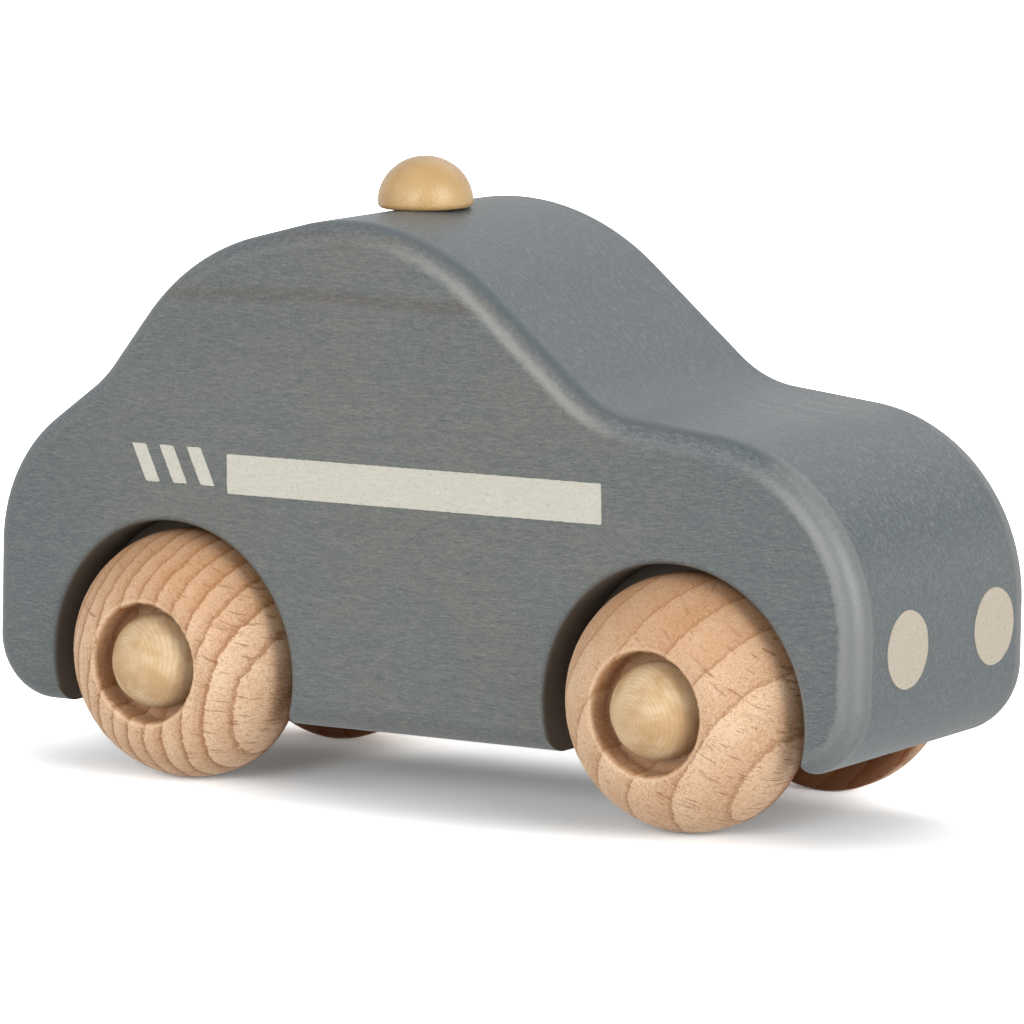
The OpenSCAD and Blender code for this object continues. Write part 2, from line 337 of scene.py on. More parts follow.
class Graph:
    """One material's node tree, and short calls that add to it."""

    def __init__(self, name):
        self.material = bpy.data.materials.new(name)
        self.material.use_nodes = True
        self.nodes = self.material.node_tree.nodes
        self.links = self.material.node_tree.links
        self.shader = self.nodes["Principled BSDF"]

    def wire(self, value, socket):
        if isinstance(value, bpy.types.NodeSocket):
            self.links.new(value, socket)
        elif value is not None:
            socket.default_value = value

    def node(self, kind, **settings):
        made = self.nodes.new(kind)
        for key, value in settings.items():
            setattr(made, key, value)
        return made

    def place(self):
        """The point on the piece, in millimetres in its own frame."""
        return self.vector("SCALE", self.node("ShaderNodeTexCoord").outputs["Object"], scale=1 / MM)

    def facing(self):
        return self.node("ShaderNodeTexCoord").outputs["Normal"]

    def vector(self, operation, a, b=None, scale=None):
        made = self.node("ShaderNodeVectorMath", operation=operation)
        self.wire(a, made.inputs[0])
        if b is not None:
            self.wire(b, made.inputs[1])
        if scale is not None:
            self.wire(scale, made.inputs["Scale"])
        scalar = operation in ("LENGTH", "DOT_PRODUCT", "DISTANCE")
        return made.outputs["Value" if scalar else "Vector"]

    def split(self, vector):
        made = self.node("ShaderNodeSeparateXYZ")
        self.wire(vector, made.inputs[0])
        return made.outputs

    def join(self, x, y, z):
        made = self.node("ShaderNodeCombineXYZ")
        for value, socket in zip((x, y, z), made.inputs):
            self.wire(value, socket)
        return made.outputs[0]

    def math(self, operation, a, b=None):
        made = self.node("ShaderNodeMath", operation=operation)
        for value, socket in zip((a, b), made.inputs):
            self.wire(value, socket)
        return made.outputs[0]

    def magnitude(self, value):
        return self.math("ABSOLUTE", value)

    def times(self, *factors):
        total = factors[0]
        for factor in factors[1:]:
            total = self.math("MULTIPLY", total, factor)
        return total

    def plus(self, *terms):
        total = terms[0]
        for term in terms[1:]:
            total = self.math("ADD", total, term)
        return total

    def smooth(self, value, low, high, to_low=0.0, to_high=1.0):
        """A smooth step of value from low to high."""
        made = self.node("ShaderNodeMapRange", interpolation_type="SMOOTHSTEP")
        for item, socket in zip((value, low, high, to_low, to_high), made.inputs):
            self.wire(item, socket)
        return made.outputs[0]

    def ridge(self, value, place, within, beyond):
        """1 where value is within a distance of place, and smoothly down to 0 at another distance."""
        off = self.magnitude(self.math("SUBTRACT", value, place))
        return self.smooth(off, within, beyond, 1.0, 0.0)

    def sway(self, noise, amount):
        """Noise turned into a shift to both sides."""
        return self.times(self.math("SUBTRACT", noise, 0.5), amount)

    def from_axis(self, x, z, axis=(0.0, 0.0)):
        """How far a point is from an axis along Y, which stands at (x, z)."""
        off_x = self.math("SUBTRACT", x, axis[0])
        off_z = self.math("SUBTRACT", z, axis[1])
        return self.vector("LENGTH", self.join(off_x, 0.0, off_z))

    def noise(self, vector, scale=1.0, detail=2.0, rough=0.5, stretch=None):
        if stretch:
            vector = self.vector("MULTIPLY", vector, stretch)
        made = self.node("ShaderNodeTexNoise")
        self.wire(vector, made.inputs["Vector"])
        for name, value in (("Scale", scale), ("Detail", detail), ("Roughness", rough)):
            made.inputs[name].default_value = value
        return made.outputs["Fac"]

    def mix(self, share, a, b):
        made = self.node("ShaderNodeMix", data_type="RGBA")
        self.wire(share, made.inputs["Factor"])
        self.wire(a, made.inputs[6])
        self.wire(b, made.inputs[7])
        return made.outputs[2]

    def bump(self, height, strength, distance):
        made = self.node("ShaderNodeBump")
        made.inputs["Strength"].default_value = strength
        made.inputs["Distance"].default_value = distance * MM
        self.wire(height, made.inputs["Height"])
        return made.outputs[0]

    def surface(self, color, rough, normal, **sockets):
        self.wire(color, self.shader.inputs["Base Color"])
        self.wire(rough, self.shader.inputs["Roughness"])
        self.wire(normal, self.shader.inputs["Normal"])
        for name, value in sockets.items():
            self.shader.inputs[name.replace("_", " ")].default_value = value
        return self.material


def rgb(red, green, blue):
    """A colour given in display values from 0 to 255."""

    def linear(value):
        value /= 255
        return value / 12.92 if value <= 0.04045 else ((value + 0.055) / 1.055) ** 2.4

    return (linear(red), linear(green), linear(blue), 1.0)


def stained_wood():
    """Blue-grey stain under a satin varnish, on a plank whose grain runs along X."""
    g = Graph("stained_wood")
    at = g.place()
    x, y, z = g.split(at)
    normal_x, normal_y, normal_z = g.split(g.facing())
    streaks = g.noise(at, detail=3, stretch=(0.012, 0.22, 0.22))
    bands = g.noise(at, detail=4, rough=0.6, stretch=(0.06, 0.9, 0.9))
    fibres = g.noise(at, detail=3, rough=0.65, stretch=(0.8, 4.2, 4.2))
    dashes = g.smooth(g.noise(at, detail=1, stretch=(0.55, 4.6, 4.6)), 0.60, 0.74)
    specks = g.noise(at, scale=3.4, detail=3, rough=0.7)
    clouds = g.noise(at, scale=0.07, detail=3, rough=0.6)

    color = g.mix(g.smooth(bands, 0.3, 0.7), rgb(101, 105, 103), rgb(113, 114, 110))
    color = g.mix(g.times(g.smooth(streaks, 0.52, 0.68), 0.4), color, rgb(107, 106, 103))
    color = g.mix(g.times(g.smooth(clouds, 0.42, 0.66), 0.45), color, rgb(96, 106, 111))
    # Bluer towards the front, darker and bluer towards the rear, and darker low on the front
    front = g.smooth(x, 28.0, 60.0)
    color = g.mix(g.times(front, 0.6), color, rgb(92, 103, 109))
    color = g.mix(g.smooth(x, -40.0, -62.0, 0.0, 0.6), color, rgb(86, 97, 101))
    low_front = g.times(front, g.smooth(z, 34.0, 18.0), 0.3)
    color = g.mix(low_front, color, rgb(82, 92, 97))
    # The upper faces: painted shade makes them darker and bluer, with a painted highlight on the bonnet
    # and a raised nap
    top = g.smooth(normal_z, 0.2, 0.6)
    color = g.mix(g.times(top, 0.6), color, rgb(87, 97, 104))
    # Painted highlight: the bonnet is lighter, and pale streaks on it stand in for its sheen
    bonnet_highlight = g.times(top, g.smooth(x, 30.0, 44.0))
    color = g.mix(g.times(bonnet_highlight, 0.4), color, rgb(118, 124, 127))
    wisps = g.smooth(g.noise(at, detail=3, stretch=(0.05, 0.4, 0.4)), 0.45, 0.6)
    sheen = g.times(bonnet_highlight, wisps, g.smooth(y, -8.0, 6.0), g.smooth(x, 66.0, 54.0))
    color = g.mix(g.times(sheen, 0.6), color, rgb(146, 142, 140))
    # Painted shade where the bonnet turns down into the nose; darker on the roof's rear
    brow_shade = g.times(g.smooth(normal_x, 0.15, 0.45), g.smooth(normal_z, 0.25, 0.5), 0.9)
    color = g.mix(brow_shade, color, rgb(68, 81, 89))
    nape = g.times(g.smooth(x, -8.0, -32.0), g.smooth(z, 54.0, 66.0), 0.45)
    color = g.mix(nape, color, rgb(88, 96, 98))
    nap = g.noise(at, detail=3, rough=0.7, stretch=(1.0, 1.8, 1.0))
    color = g.mix(g.times(top, g.smooth(nap, 0.5, 0.66), 0.6), color, rgb(134, 142, 146))
    color = g.mix(g.times(top, g.smooth(nap, 0.5, 0.34), 0.6), color, rgb(66, 76, 84))
    # Darker brown lines in the plank, level with the roof's side
    flat_side = g.smooth(g.magnitude(normal_y), 0.3, 0.8)
    for line_z, half, strength in ((69.2, 1.5, 0.75), (77.6, 1.6, 0.45)):
        wander = g.sway(g.noise(at, detail=2, stretch=(0.03, 0.1, 0.1)), 3.0)
        there = g.times(g.ridge(g.plus(z, wander), line_z, 0.2, half), flat_side, strength)
        color = g.mix(there, color, rgb(92, 84, 80))
    # Fibres, short dark dashes and specks all over
    color = g.mix(g.times(g.smooth(fibres, 0.45, 0.72), 0.5), color, rgb(136, 137, 130))
    color = g.mix(g.times(g.smooth(fibres, 0.52, 0.28), 0.5), color, rgb(78, 85, 89))
    color = g.mix(g.times(dashes, 0.45), color, rgb(66, 74, 81))
    color = g.mix(g.times(g.smooth(specks, 0.5, 0.68), 0.4), color, rgb(142, 142, 134))
    color = g.mix(g.times(g.smooth(specks, 0.5, 0.32), 0.3), color, rgb(78, 84, 88))

    # End grain shows as pebbles with a few slanting scratches
    end = g.smooth(g.magnitude(normal_x), 0.5, 0.85)
    pebbles = g.noise(at, scale=1.5, detail=4, rough=0.6)
    across = g.plus(g.times(y, 0.75), g.times(z, 0.66))
    along = g.plus(g.times(y, -0.66), g.times(z, 0.75))
    scratches = g.noise(g.join(x, g.times(across, 0.3), g.times(along, 2.0)), detail=3)
    color = g.mix(g.times(end, g.smooth(pebbles, 0.5, 0.66), 0.4), color, rgb(128, 136, 138))
    color = g.mix(g.times(end, g.smooth(pebbles, 0.5, 0.34), 0.4), color, rgb(82, 92, 98))
    color = g.mix(g.times(end, g.smooth(scratches, 0.56, 0.68), 0.3), color, rgb(84, 92, 97))

    # The rounded side edges: how far the surface has turned away from the side, in radians
    turned_away = g.math("ARCCOSINE", g.math("MINIMUM", g.magnitude(normal_y), 1.0))
    ragged = g.sway(g.noise(at, scale=0.8, detail=4, rough=0.7), 0.4)
    turned_away = g.plus(turned_away, ragged)
    # On the nose's corner the stain is rubbed paler and carries painted highlights; beside the windscreen
    # painted highlight streaks run along the edge
    nose = g.smooth(g.plus(x, g.times(z, 0.12)), 60.0, 69.0)
    nose = g.times(nose, g.smooth(z, 8.0, 28.0, 0.5, 1.0))
    aside = g.plus(g.magnitude(y), g.times(ragged, 1.5))
    worn_and_lit_band = g.times(g.smooth(turned_away, 0.02, 0.2), g.smooth(aside, SIDE_Y - 4.4, SIDE_Y - 3.6))
    # The broad pale band on the nose is part worn stain, part painted highlight
    color = g.mix(g.times(nose, worn_and_lit_band, 0.5), color, rgb(144, 146, 142))
    # Painted highlights: two pale streaks along the nose's rounded edge
    for ridge_at in (0.36, 0.98):
        ridge = g.ridge(turned_away, ridge_at, 0.03, 0.34)
        color = g.mix(g.times(nose, ridge, 0.16), color, rgb(170, 171, 166))
    beside = g.times(g.smooth(x, -12.0, 12.0), g.smooth(x, 27.0, 37.0, 1.0, 0.0))
    beside = g.times(beside, g.smooth(z, 46.0, 54.0))
    # Painted highlights along the rounded edge beside the windscreen: a pale streak and a warm one
    pale = g.ridge(turned_away, 0.46, 0.05, 0.42)
    color = g.mix(g.times(beside, pale, 0.44), color, rgb(172, 171, 163))
    windscreen_warm_highlight = g.ridge(turned_away, 0.95, 0.05, 0.4)
    color = g.mix(g.times(beside, windscreen_warm_highlight, 0.4), color, rgb(140, 135, 126))
    # Elsewhere the edge is darker where it meets the upper faces
    crest = g.times(g.ridge(turned_away, 1.25, 0.1, 0.5), g.smooth(nose, 0.0, 0.5, 1.0, 0.0))
    color = g.mix(g.times(crest, 0.8), color, rgb(76, 87, 93))

    # Inside the wheel pockets the colour is brown
    hollow = None
    for axle_x in (FRONT_AXLE_X, REAR_AXLE_X):
        away = g.from_axis(x, z, (axle_x, POCKET_Z))
        inside = g.smooth(away, POCKET_D / 2 + 0.02, POCKET_D / 2 + 0.3, 1.0, 0.0)
        hollow = inside if hollow is None else g.math("MAXIMUM", hollow, inside)
    color = g.mix(g.times(hollow, 0.88), color, rgb(104, 90, 76))
    color = g.mix(g.times(hollow, g.smooth(specks, 0.6, 0.75), 0.5), color, rgb(128, 118, 104))

    height = g.plus(g.times(fibres, 0.8), g.times(bands, 0.3), g.times(dashes, -0.4))
    height = g.plus(height, g.times(specks, 0.9), g.times(end, pebbles, 1.2))
    rough = g.smooth(specks, 0.3, 0.7, 0.36, 0.5)
    rough = g.plus(rough, g.times(hollow, 0.35))
    return g.surface(color, rough, g.bump(height, 0.35, 0.1), Specular_IOR_Level=0.6)


def beech(name, rings_at, pitch, boldness, seed):
    """Bare turned beech, its face end grain, with growth rings about a far centre at (x, z).

    The rings are a pitch apart on the face, and boldness is the strength of their contrast.
    """
    g = Graph(name)
    at = g.place()
    x, y, z = g.split(at)
    moved = g.vector("ADD", at, (seed, seed, seed))
    warp = g.sway(g.noise(moved, scale=0.07), 3.0)
    from_x = g.math("SUBTRACT", x, rings_at[0])
    from_z = g.math("SUBTRACT", z, rings_at[1])
    reach = g.vector("LENGTH", g.join(from_x, 0.0, from_z))
    turn = g.math("ARCTAN2", from_z, from_x)
    # The rings sag a little between the rays that cross them
    centre_off = math.hypot(*rings_at)
    sag = g.sway(g.noise(g.join(g.times(turn, 0.7 * centre_off), seed, 0.0), detail=2), 0.8)
    fuzz = g.sway(g.noise(at, scale=2.4, detail=3), 0.4)
    # The rings lie closer together further out
    grown_to = g.plus(reach, warp, sag, fuzz)
    ring = g.math("DIVIDE", g.times(grown_to, grown_to), 2 * pitch * (centre_off - 8.0))
    grown = g.math("FRACT", ring)
    shade = g.smooth(grown, 0.0, 0.85, 1.0, 0.0)
    line_w = min(0.16, 0.45 / pitch)
    line_end = g.smooth(grown, line_w * 0.5, line_w * 1.7, 1.0, 0.0)
    line = g.times(g.smooth(grown, 0.0, line_w * 0.2), line_end)
    each = g.node("ShaderNodeTexWhiteNoise", noise_dimensions="1D")
    g.wire(g.math("FLOOR", ring), each.inputs["W"])
    tone = each.outputs["Value"]

    pores = g.noise(at, detail=3, rough=0.75, stretch=(3.0, 0.8, 3.0))
    grit = g.noise(at, detail=2, rough=0.6, stretch=(5.5, 2.0, 5.5))
    mottle = g.noise(at, scale=0.3, detail=4, rough=0.6)
    # Rays: thin dark flecks that point at the rings' centre, thickest near it
    near = g.smooth(reach, centre_off - 19.0, centre_off + 4.0, 1.0, 0.0)
    spokes = g.join(g.times(reach, 0.34), g.times(turn, 2.3 * centre_off), g.times(y, 0.22))
    flecks = g.noise(spokes, detail=1)
    rays = g.smooth(g.plus(flecks, g.times(near, 0.075)), 0.70, 0.75)
    long_spokes = g.join(g.times(reach, 0.09), g.times(turn, 0.95 * centre_off), g.times(y, 0.1))
    long_rays = g.smooth(g.noise(long_spokes, detail=2), 0.66, 0.72)

    color = g.mix(g.smooth(mottle, 0.3, 0.7), rgb(240, 199, 160), rgb(249, 215, 180))
    color = g.mix(g.times(tone, 0.25), color, rgb(218, 170, 126))
    depth = g.smooth(tone, 0.0, 1.0, 0.6 * boldness, boldness)
    color = g.mix(g.times(shade, depth, 0.95), color, rgb(192, 137, 92))
    color = g.mix(g.times(line, 0.8 * boldness), color, rgb(166, 108, 64))
    color = g.mix(g.times(g.smooth(pores, 0.5, 0.7), 0.6), color, rgb(184, 132, 90))
    color = g.mix(g.times(g.smooth(pores, 0.5, 0.3), 0.45), color, rgb(252, 226, 196))
    color = g.mix(g.times(g.smooth(grit, 0.52, 0.7), 0.3), color, rgb(178, 126, 86))
    color = g.mix(g.times(g.smooth(grit, 0.5, 0.34), 0.3), color, rgb(255, 234, 206))
    color = g.mix(g.times(long_rays, 0.3), color, rgb(176, 122, 80))
    color = g.mix(g.times(rays, 0.5), color, rgb(150, 94, 56))

    # Painted shade: the upper half, which sits in the wheel pocket, is browner and darker
    color = g.mix(g.smooth(z, 1.0, 15.0, 0.0, 0.45), color, rgb(190, 130, 78))

    # The recess's wall is torn end grain, browner than the face, and a painted highlight runs along its
    # lip
    out = g.math("SUBTRACT", g.from_axis(x, z), RECESS_D / 2)
    wall = g.times(g.smooth(out, -1.9, -0.9), g.smooth(out, 0.1, 0.35, 1.0, 0.0))
    color = g.mix(g.times(wall, 0.5), color, rgb(172, 116, 74))
    lip_highlight = g.times(g.smooth(out, 0.25, 0.5), g.smooth(out, 0.6, 0.9, 1.0, 0.0))
    color = g.mix(g.times(lip_highlight, 0.4), color, rgb(250, 216, 178))
    # Painted shade: the back is darker and browner
    back = g.smooth(g.magnitude(y), WHEEL_INNER_Y + 0.5, WHEEL_INNER_Y + 4.0, 1.0, 0.0)
    color = g.mix(g.times(back, 0.85), color, rgb(128, 69, 36))
    # The light it throws on the floor is nearly neutral
    thrown = g.node("ShaderNodeLightPath").outputs["Is Diffuse Ray"]
    color = g.mix(g.times(thrown, 0.7), color, rgb(158, 158, 158))

    height = g.plus(pores, g.times(line, -0.4), g.times(rays, -0.8), g.times(mottle, 0.3))
    rough = g.smooth(pores, 0.3, 0.7, 0.55, 0.75)
    g.wire(g.smooth(back, 0.0, 1.0, 0.3, 0.03), g.shader.inputs["Specular IOR Level"])
    return g.surface(color, rough, g.bump(height, 0.45, 0.13))


def peg_wood(name, rings_at, seed):
    """Pale turned wood whose domed end shows fine rings about the dowel's heart at (x, z)."""
    g = Graph(name)
    at = g.place()
    x, y, z = g.split(at)
    moved = g.vector("ADD", at, (seed, seed, seed))
    warp = g.sway(g.noise(moved, scale=0.18), 1.2)
    reach = g.from_axis(x, z, rings_at)
    grown = g.math("FRACT", g.times(g.plus(reach, warp), 1.9))
    line = g.times(g.smooth(grown, 0.3, 0.8), g.smooth(grown, 0.85, 1.0, 1.0, 0.0))
    mottle = g.noise(moved, scale=0.22, detail=3, rough=0.5)
    streak = g.noise(moved, detail=2, stretch=(0.12, 0.3, 0.5))
    pores = g.noise(at, detail=3, rough=0.7, stretch=(3.2, 0.6, 3.2))
    color = g.mix(g.smooth(mottle, 0.35, 0.65), rgb(214, 175, 130), rgb(238, 209, 168))
    color = g.mix(g.times(g.smooth(streak, 0.5, 0.66), 0.35), color, rgb(202, 156, 108))
    color = g.mix(g.times(g.smooth(reach, 0.0, 3.0, 1.0, 0.0), 0.35), color, rgb(206, 160, 108))
    color = g.mix(g.times(line, 0.2), color, rgb(192, 148, 100))
    # Painted shade: darker towards the head's rim
    out = g.from_axis(x, z)
    color = g.mix(g.smooth(out, 5.0, HEAD_D / 2, 0.0, 0.1), color, rgb(188, 138, 86))
    color = g.mix(g.times(g.smooth(pores, 0.52, 0.75), 0.2), color, rgb(186, 142, 98))
    height = g.plus(g.times(pores, 0.4), g.times(line, -0.15), g.times(mottle, 0.6))
    rough = g.smooth(mottle, 0.3, 0.7, 0.6, 0.72)
    return g.surface(color, rough, g.bump(height, 0.3, 0.1), Specular_IOR_Level=0.35)


def mustard_paint():
    """Satin paint on turned wood, with a slight orange-peel."""
    g = Graph("mustard_paint")
    at = g.place()
    peel = g.noise(at, scale=3.2, detail=3, rough=0.6)
    clouds = g.noise(at, scale=0.25, detail=3)
    specks = g.smooth(g.noise(at, scale=3.5, detail=2), 0.64, 0.74)
    color = g.mix(g.smooth(clouds, 0.3, 0.7), rgb(208, 166, 108), rgb(216, 177, 120))
    color = g.mix(g.times(specks, 0.3), color, rgb(236, 206, 158))
    height = g.plus(peel, g.times(specks, 0.3))
    rough = g.smooth(peel, 0.3, 0.7, 0.2, 0.3)
    return g.surface(color, rough, g.bump(height, 0.4, 0.16), Specular_IOR_Level=0.6)


def printed(name, color_a, color_b, spotted):
    """A matt printed film that lets a little of the wood's texture through."""
    g = Graph(name)
    at = g.place()
    grain = g.noise(at, detail=3, rough=0.6, stretch=(0.8, 3.2, 3.2))
    specks = g.noise(at, scale=2.8, detail=3, rough=0.7)
    color = g.mix(g.smooth(grain, 0.3, 0.7), color_a, color_b)
    color = g.mix(g.times(g.smooth(specks, 0.56, 0.7), 0.6), color, rgb(182, 174, 158))
    dots = g.smooth(g.noise(at, scale=1.7, detail=2, rough=0.6), 0.66, 0.74)
    color = g.mix(g.times(dots, spotted), color, rgb(158, 138, 112))
    pale = g.smooth(g.noise(at, scale=2.2, detail=3, rough=0.7), 0.56, 0.7)
    color = g.mix(g.times(pale, 0.6), color, rgb(232, 226, 212))
    height = g.plus(g.times(grain, 0.6), g.times(specks, 0.8))
    return g.surface(color, g.smooth(specks, 0.3, 0.7, 0.55, 0.7), g.bump(height, 0.4, 0.08))


# ---------------------------------------------------------------- pieces


def edge_rings():
    """Places across the block and how far the outline is drawn in there: y, inset."""
    rings = []
    for k in range(EDGE_STEPS + 1):
        a = math.radians(90 - 90 * k / EDGE_STEPS)
        rings.append((-SIDE_Y + EDGE_R * (1 - math.sin(a)), EDGE_R * (1 - math.cos(a))))
    return rings + [(-y, inset) for y, inset in reversed(rings)]


def block_mesh():
    rings = edge_rings()
    points = []
    for y, inset in rings:
        points += [(p.x, y, p.y) for p in outline_points(-inset)]
    count = len(outline_points())
    faces = []
    for r in range(len(rings) - 1):
        for i in range(count):
            after = (i + 1) % count
            low, high = r * count, (r + 1) * count
            faces.append((low + i, low + after, high + after, high + i))
    faces.append(list(range(count)))
    faces.append([(len(rings) - 1) * count + i for i in reversed(range(count))])
    return points, faces


def pocket_cutter(axle_x, side):
    radius = POCKET_D / 2
    rim = arc((radius + POCKET_RIM_R, SIDE_Y - POCKET_RIM_R), POCKET_RIM_R, 180, 90, EDGE_STEPS)
    profile = [Vector((0, POCKET_FLOOR_Y)), Vector((radius, POCKET_FLOOR_Y)), *rim]
    profile += [Vector((radius + POCKET_RIM_R, SIDE_Y + PAST)), Vector((0, SIDE_Y + PAST))]
    points, faces = turned(profile, CUT_SEGMENTS, closed=False)
    points = [(x + axle_x, y, z + POCKET_Z) for x, y, z in along_axle(points, side)]
    return mesh_object("cutter", points, faces)


def nose_tip_cutter(side):
    """Rounds the block's thin tip between a front wheel pocket and the nose's underside."""
    pocket = Vector((FRONT_AXLE_X, POCKET_Z))
    pocket_r = POCKET_D / 2
    nose, nose_r = corner_arc(len(OUTLINE) - 1)[:2]
    apart = nose - pocket
    to_pocket, to_nose = pocket_r + NOSE_TIP_R, nose_r - NOSE_TIP_R
    along = (to_pocket**2 - to_nose**2 + apart.length**2) / (2 * apart.length)
    below = math.sqrt(to_pocket**2 - along**2)
    ahead = apart.normalized()
    centre = pocket + ahead * along + Vector((ahead.y, -ahead.x)) * below
    first = math.degrees(math.atan2(*reversed(pocket - centre)))
    last = math.degrees(math.atan2(*reversed(centre - nose)))
    if last < first:
        last += 360
    rounding = arc(centre, NOSE_TIP_R, first, last, EDGE_STEPS)
    low_z = UNDERSIDE_Z - PAST
    outline = [*rounding, Vector((rounding[-1].x, low_z)), Vector((pocket.x, low_z)), pocket]
    points, faces = extruded(outline, side * POCKET_FLOOR_Y, side * (SIDE_Y + PAST))
    return mesh_object("cutter", points, faces)


def hole_profile(bottom, top):
    radius = PEG_D / 2 + GLUE_GAP
    return [Vector((0, bottom)), Vector((radius, bottom)), Vector((radius, top)), Vector((0, top))]


def peg_hole_cutter(axle_x, side):
    profile = hole_profile(PEG_TIP_Y - GLUE_WELL, POCKET_FLOOR_Y + PAST)
    points, faces = turned(profile, PEG_SEGMENTS, closed=False)
    points = [(x + axle_x, y, z + AXLE_Z) for x, y, z in along_axle(points, side)]
    return mesh_object("cutter", points, faces)


def beacon_hole_cutter():
    profile = hole_profile(ROOF_TOP_Z - BEACON_GRIP - GLUE_WELL, ROOF_TOP_Z + PAST)
    points, faces = turned(profile, PEG_SEGMENTS, closed=False)
    return mesh_object("cutter", [(x + BEACON_X, y, z) for x, y, z in points], faces)


def make_body(material):
    points, faces = block_mesh()
    body = mesh_object("body_block", points, faces, smooth_below=BLOCK_CREASE)
    cutters = [beacon_hole_cutter()]
    for axle_x in (FRONT_AXLE_X, REAR_AXLE_X):
        for side in (-1, 1):
            cutters.append(pocket_cutter(axle_x, side))
            cutters.append(peg_hole_cutter(axle_x, side))
    cutters += [nose_tip_cutter(-1), nose_tip_cutter(1)]
    cut(body, cutters)
    body.data.materials.clear()
    body.data.materials.append(material)
    finish_shading(body, BLOCK_CREASE)
    weighted = body.modifiers.new("flat_sides", "WEIGHTED_NORMAL")
    weighted.mode = "FACE_AREA"
    weighted.keep_sharp = True
    weighted.weight = 100
    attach(body, "chassis")
    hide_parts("body")


def wheel_profile():
    """Radius and distance from the body's middle plane, round a wheel's section."""
    r = WHEEL_D / 2
    recess_r = RECESS_D / 2
    bore_r = PEG_D / 2 + RUNNING_CLEARANCE
    rim = (r, WHEEL_FACE_Y - WHEEL_DOME_T)
    face = (recess_r + RECESS_LIP_R, WHEEL_FACE_Y)
    profile = [Vector((bore_r, WHEEL_INNER_Y))]
    profile += arc((r - WHEEL_INNER_R, WHEEL_INNER_Y + WHEEL_INNER_R), WHEEL_INNER_R, -90, 0, EDGE_STEPS)
    profile += dome(rim, face, WHEEL_DOME_POWER)
    profile += arc((face[0], WHEEL_FACE_Y - RECESS_LIP_R), RECESS_LIP_R, 90, 180, EDGE_STEPS)
    floor = (recess_r - RECESS_FLOOR_R, RECESS_FLOOR_Y + RECESS_FLOOR_R)
    profile += arc(floor, RECESS_FLOOR_R, 0, -90, EDGE_STEPS)
    profile.append(Vector((bore_r, RECESS_FLOOR_Y)))
    return spaced(profile, PROFILE_STEP)


def make_wheel(node, body, axle_x, side, material, seed):
    points, faces = turned(wheel_profile(), WHEEL_SEGMENTS, closed=True)
    recess_r = RECESS_D / 2

    def torn(p):
        """How uneven the turned surface is: most on the recess's wall and lip, not at all in the bore."""
        radius = math.hypot(p[0], p[1])
        wall = max(0.0, 1 - abs(radius - recess_r - 0.1) / 1.0)
        plain = 0.25 if recess_r + 0.8 < radius < WHEEL_D / 2 - 0.3 else 0.0
        return max(wall, plain) if p[2] > WHEEL_INNER_Y + WHEEL_INNER_R else 0.0

    points = along_axle(roughened(points, WHEEL_TORN, WHEEL_TORN_SIZE, seed, torn), side)
    wheel = mesh_object(node + "_turned", points, faces, material, TURNED_CREASE)
    wheel.location = (axle_x * MM, 0, AXLE_Z * MM)
    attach(wheel, body)
    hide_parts(node)


def peg_profile(shank):
    """Radius and height round a peg's section, with the head's underside at 0."""
    shank_r, head_r = PEG_D / 2, HEAD_D / 2
    profile = [
        Vector((0, -shank)),
        Vector((shank_r - TIP_CHAMFER, -shank)),
        Vector((shank_r, TIP_CHAMFER - shank)),
        Vector((shank_r, 0)),
    ]
    profile += arc((head_r - HEAD_EDGE_R, HEAD_EDGE_R), HEAD_EDGE_R, -90, 0, EDGE_STEPS)
    profile += dome((head_r, HEAD_EDGE_R), (0, HEAD_H), 2)
    return profile


def uneven_head(p):
    """A head's dome is a little uneven, but neither its rim, its top nor its shank is."""
    radius = math.hypot(p[0], p[1])
    if p[2] < HEAD_EDGE_R:
        return 0.0
    return min(1.0, (HEAD_D / 2 - radius) / 0.8, (HEAD_H - p[2]) / 0.5)


def make_axle_peg(node, axle_x, side, material, seed):
    points, faces = turned(peg_profile(HEAD_Y - PEG_TIP_Y), PEG_SEGMENTS, closed=False)
    points = roughened(points, HEAD_TORN, HEAD_TORN_SIZE, seed, uneven_head)
    points = [(x, y + side * HEAD_Y, z) for x, y, z in along_axle(points, side)]
    peg = mesh_object(node + "_turned", points, faces, material, TURNED_CREASE)
    peg.location = (axle_x * MM, 0, AXLE_Z * MM)
    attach(peg, "chassis")
    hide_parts(node)


def make_beacon(material):
    points, faces = turned(peg_profile(BEACON_GRIP), PEG_SEGMENTS, closed=False)
    points = roughened(points, BEACON_TORN, BEACON_TORN_SIZE, 3, uneven_head)
    beacon = mesh_object("beacon_turned", points, faces, material, TURNED_CREASE)
    beacon.location = (BEACON_X * MM, 0, ROOF_TOP_Z * MM)
    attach(beacon, "chassis")
    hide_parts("beacon")


def frayed(corners, step, amount, seed):
    """A print's outline: its straight edges cut up, and drawn in unevenly by up to an amount."""
    middle = sum((Vector(c) for c in corners), Vector((0, 0))) / len(corners)
    points = []
    for a, b in zip(corners, corners[1:] + corners[:1]):
        a, b = Vector(a), Vector(b)
        parts = max(2, round((b - a).length / step))
        along = (b - a).normalized()
        inward = Vector((-along.y, along.x))
        if inward.dot(middle - a) < 0:
            inward = -inward
        for k in range(parts):
            p = a + (b - a) * k / parts
            wander = 0.5 + 0.5 * noise.noise(Vector((p.x * 1.7, p.y * 1.7, seed)))
            corner = amount * 1.2 if k == 0 else 0.0
            points.append(p + inward * (amount * wander) + along * corner)
    return points


def make_side_film(node, corners, side, material, seed):
    outline = frayed(corners, FRAY_STEP, BAR_FRAY, seed)
    points, faces = extruded(outline, side * SIDE_Y, side * (SIDE_Y + FILM_T))
    film = mesh_object(node + "_print", points, faces, material)
    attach(film, "chassis")
    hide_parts(node)


